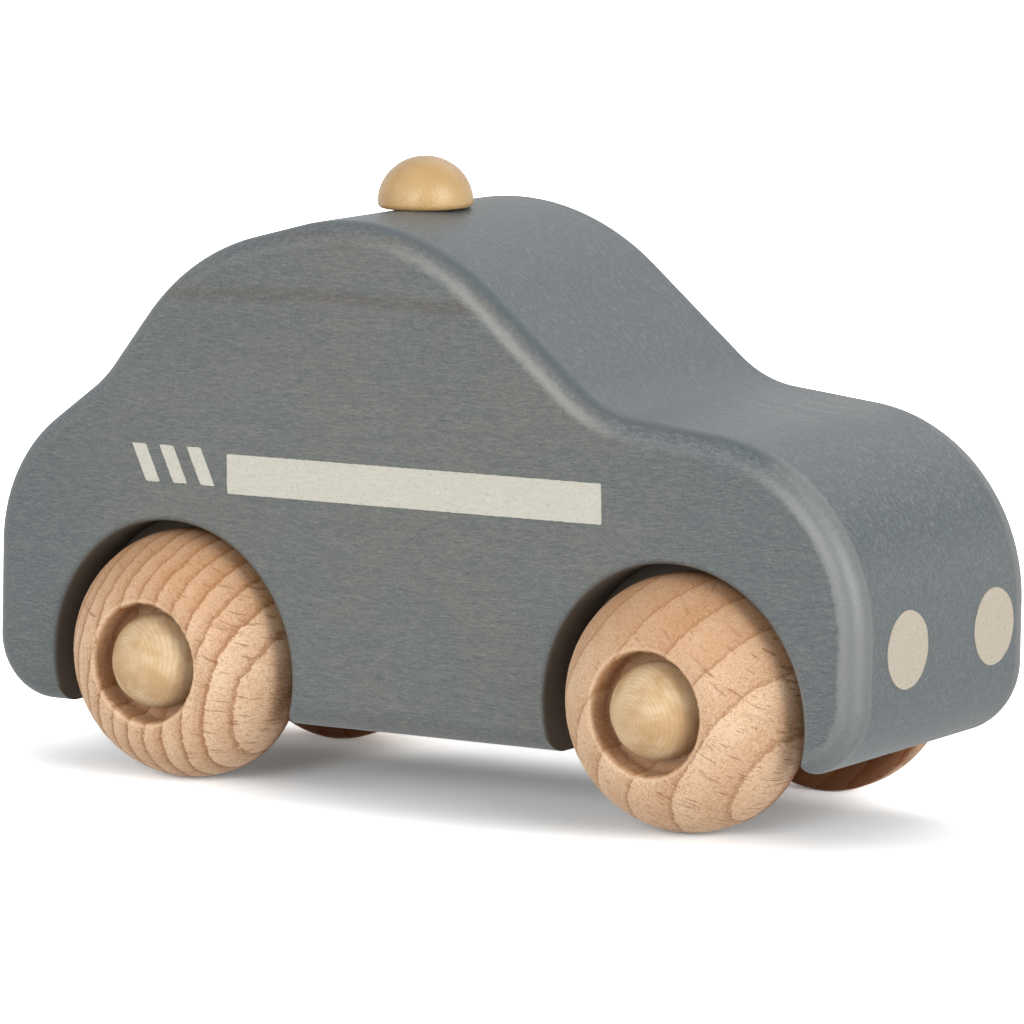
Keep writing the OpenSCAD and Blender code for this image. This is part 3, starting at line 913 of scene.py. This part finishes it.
def make_headlight(node, side, material, seed):
    """A round film that follows the nose's curve."""
    middle_y = HEADLIGHT_SHIFT + side * HEADLIGHT_SPACING / 2
    places = [(middle_y, HEADLIGHT_Z)]
    for ring in range(1, DISC_RINGS + 1):
        for k in range(DISC_SEGMENTS):
            a = 2 * math.pi * k / DISC_SEGMENTS
            wander = 0.5 + 0.5 * noise.noise(Vector((math.cos(a), math.sin(a), seed)) * 3)
            radius = (HEADLIGHT_D / 2 - DISC_FRAY * wander) * ring / DISC_RINGS
            places.append((middle_y + radius * math.cos(a), HEADLIGHT_Z + radius * math.sin(a)))
    count = len(places)
    points = [(nose_x(z, out), y, z) for out in (0.0, FILM_T) for y, z in places]
    faces = []
    for layer in (0, count):
        for k in range(DISC_SEGMENTS):
            after = (k + 1) % DISC_SEGMENTS
            faces.append((layer, layer + 1 + k, layer + 1 + after))
            for ring in range(DISC_RINGS - 1):
                low = layer + 1 + ring * DISC_SEGMENTS
                high = low + DISC_SEGMENTS
                faces.append((low + k, high + k, high + after, low + after))
    last = 1 + (DISC_RINGS - 1) * DISC_SEGMENTS
    for k in range(DISC_SEGMENTS):
        after = (k + 1) % DISC_SEGMENTS
        faces.append((last + k, last + after, count + last + after, count + last + k))
    film = mesh_object(node + "_print", points, faces, material)
    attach(film, "chassis")
    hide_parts(node)


def make_prints():
    cream = printed("cream_print", rgb(213, 211, 196), rgb(222, 220, 206), 0.0)
    beige = printed("beige_print", rgb(205, 193, 174), rgb(214, 203, 186), 0.7)
    rear_end, front_end = STRIPE_MID_X - STRIPE_L / 2, STRIPE_MID_X + STRIPE_L / 2
    low, high = STRIPE_MID_Z - STRIPE_H / 2, STRIPE_MID_Z + STRIPE_H / 2
    bar = [(rear_end, low), (rear_end, high), (front_end, high), (front_end, low)]
    slash_low, slash_high = SLASH_MID_Z - SLASH_H / 2, SLASH_MID_Z + SLASH_H / 2
    for side, word in ((-1, "right"), (1, "left")):
        make_side_film("stripe_" + word, bar, side, cream, 5 + side)
        for number in range(1, SLASH_COUNT + 1):
            foot = rear_end - SLASH_GAP - SLASH_W - SLASH_PITCH * (SLASH_COUNT - number)
            top = foot - SLASH_LEAN
            slash = [(foot, slash_low), (top, slash_high)]
            slash += [(top + SLASH_W, slash_high), (foot + SLASH_W, slash_low)]
            make_side_film(f"slash_{word}_{number}", slash, side, cream, 10 * number + side)
        make_headlight("headlight_" + word, side, beige, 30 + side)


def make_wheels():
    """The wheels and their pegs, each cut from another stretch of wood."""
    # Each wheel's ring centre, ring pitch and boldness
    looks = {
        "front_right": ((89, -59), 6.0, 0.62),
        "front_left": ((-30, 18), 5.5, 0.8),
        "rear_right": ((89, -25), 3.0, 0.84),
        "rear_left": ((-22, -25), 4.5, 0.9),
    }
    # Each peg's ring centre
    hearts = {
        "front_right": (-1.2, -0.6),
        "front_left": (1.5, 1.0),
        "rear_right": (-2.0, 0.4),
        "rear_left": (0.8, -2.2),
    }
    seed = 0
    for end, axle_x in (("front", FRONT_AXLE_X), ("rear", REAR_AXLE_X)):
        for word, side in (("right", -1), ("left", 1)):
            seed += 1
            place = f"{end}_{word}"
            wood = beech("beech_" + place, *looks[place], seed)
            make_wheel("wheel_" + place, place + "_wheel", axle_x, side, wood, seed)
            dowel = peg_wood("peg_" + place, hearts[place], seed)
            make_axle_peg("axle_peg_" + place, axle_x, side, dowel, seed)


# ---------------------------------------------------------------- floor, light and camera


def make_floor():
    """A pale floor that looks white to the camera outside the object's shadow."""
    corners = [(-1, -1), (1, -1), (1, 1), (-1, 1)]
    mesh = bpy.data.meshes.new("floor")
    mesh.from_pydata([(x * FLOOR_SIZE, y * FLOOR_SIZE, 0) for x, y in corners], [], [(0, 1, 2, 3)])
    floor = bpy.data.objects.new("floor", mesh)
    bpy.context.scene.collection.objects.link(floor)
    g = Graph("floor")
    g.nodes.remove(g.shader)
    output = g.nodes["Material Output"]
    path = g.node("ShaderNodeLightPath")

    def diffuse(level):
        made = g.node("ShaderNodeBsdfDiffuse")
        made.inputs["Color"].default_value = (level, level, level, 1)
        return made.outputs[0]

    def glow(level):
        made = g.node("ShaderNodeEmission")
        made.inputs["Strength"].default_value = 1.0
        made.inputs["Color"].default_value = (level, level, level, 1)
        return made.outputs[0]

    def add(a, b):
        made = g.node("ShaderNodeAddShader")
        g.links.new(a, made.inputs[0])
        g.links.new(b, made.inputs[1])
        return made.outputs[0]

    def choose(share, a, b):
        made = g.node("ShaderNodeMixShader")
        g.links.new(share, made.inputs["Fac"])
        g.links.new(a, made.inputs[1])
        g.links.new(b, made.inputs[2])
        return made.outputs[0]

    plain = diffuse(FLOOR_LEVEL)
    # Away from the car and behind it the camera sees the floor as burnt out to white; near the car it
    # stays darker, a painted shadow around the real one
    x, y, z = g.split(g.place())
    off_x = g.math("DIVIDE", g.math("SUBTRACT", x, FLOOR_MID_X), FLOOR_HALF_L)
    off_y = g.math("DIVIDE", g.math("SUBTRACT", y, FLOOR_MID_Y), FLOOR_HALF_W)
    away = g.plus(g.times(off_x, off_x), g.times(off_y, off_y))
    level = g.plus(FLOOR_NEAR, g.smooth(away, 0.2, 1.6, 0.0, FLOOR_FAR))
    level = g.plus(level, g.smooth(y, FLOOR_BEHIND_FROM, FLOOR_BEHIND_TO, 0.0, FLOOR_BEHIND))
    # A level above 1 is more than one paint can give, so a share of it is added to itself
    seen = diffuse(1.0)
    g.wire(g.math("DIVIDE", level, 2.0**FLOOR_DOUBLINGS), seen.node.inputs["Color"])
    for _ in range(FLOOR_DOUBLINGS):
        seen = add(seen, seen)
    seen = add(seen, glow(FLOOR_LIFT))
    mirrored = choose(path.outputs["Is Glossy Ray"], plain, glow(1.0))
    surface = choose(path.outputs["Is Camera Ray"], mirrored, seen)
    g.links.new(surface, output.inputs["Surface"])
    mesh.materials.append(g.material)


def make_world():
    """A white surround, which only the camera and the pieces' sheen see."""
    world = bpy.data.worlds.new("studio")
    world.use_nodes = True
    nodes, links = world.node_tree.nodes, world.node_tree.links
    output = nodes["World Output"]
    light = nodes["Background"]
    light.inputs["Color"].default_value = (1, 1, 1, 1)
    light.inputs["Strength"].default_value = WORLD_LEVEL
    white = nodes.new("ShaderNodeBackground")
    white.inputs["Color"].default_value = (1, 1, 1, 1)
    white.inputs["Strength"].default_value = 1.0
    path = nodes.new("ShaderNodeLightPath")
    seen = nodes.new("ShaderNodeMath")
    seen.operation = "MAXIMUM"
    links.new(path.outputs["Is Camera Ray"], seen.inputs[0])
    links.new(path.outputs["Is Glossy Ray"], seen.inputs[1])
    chosen = nodes.new("ShaderNodeMixShader")
    links.new(seen.outputs[0], chosen.inputs["Fac"])
    links.new(light.outputs[0], chosen.inputs[1])
    links.new(white.outputs[0], chosen.inputs[2])
    links.new(chosen.outputs[0], output.inputs["Surface"])
    bpy.context.scene.world = world


def direction(azimuth, elevation):
    """The unit vector at an azimuth from the car's right towards its front, and an elevation."""
    a, e = math.radians(azimuth), math.radians(elevation)
    return Vector((math.sin(a) * math.cos(e), -math.cos(a) * math.cos(e), math.sin(e)))


def make_sun(name, azimuth, elevation, strength, spread):
    lamp = bpy.data.lights.new(name, "SUN")
    lamp.energy = strength
    lamp.angle = math.radians(spread)
    towards = direction(azimuth, elevation)
    sun = bpy.data.objects.new(name, lamp)
    sun.rotation_mode = "QUATERNION"
    sun.rotation_quaternion = towards.to_track_quat("Z", "Y")
    bpy.context.scene.collection.objects.link(sun)


def make_camera():
    """The camera at the photograph's viewing angle."""
    azimuth, elevation, roll = 33.563, 8.066, -0.563
    distance = 940.8
    aim = Vector((-1.812, 5.755, 37.086))
    lens, sensor = 236.48, 36.0
    shift_x, shift_y = 0.0007, 0.0003
    back = direction(azimuth, elevation)
    right = Vector((math.cos(math.radians(azimuth)), math.sin(math.radians(azimuth)), 0))
    up = back.cross(right)
    turn = Matrix.Rotation(math.radians(roll), 3, back)
    right, up = turn @ right, turn @ up
    data = bpy.data.cameras.new("camera")
    data.sensor_width = sensor
    data.lens = lens
    data.shift_x, data.shift_y = shift_x, shift_y
    data.clip_start, data.clip_end = 0.05, 100
    camera = bpy.data.objects.new("camera", data)
    camera.rotation_mode = "QUATERNION"
    camera.rotation_quaternion = Matrix((right, up, back)).transposed().to_quaternion()
    camera.location = (aim + back * distance) * MM
    bpy.context.scene.collection.objects.link(camera)
    bpy.context.scene.camera = camera


make_body(stained_wood())
make_wheels()
make_beacon(mustard_paint())
make_prints()
make_floor()
make_world()
for sun_name, sun_settings in SUNS.items():
    make_sun(sun_name, *sun_settings)
make_camera()
bpy.context.scene.view_settings.view_transform = "Standard"

bpy.context.view_layer.update()
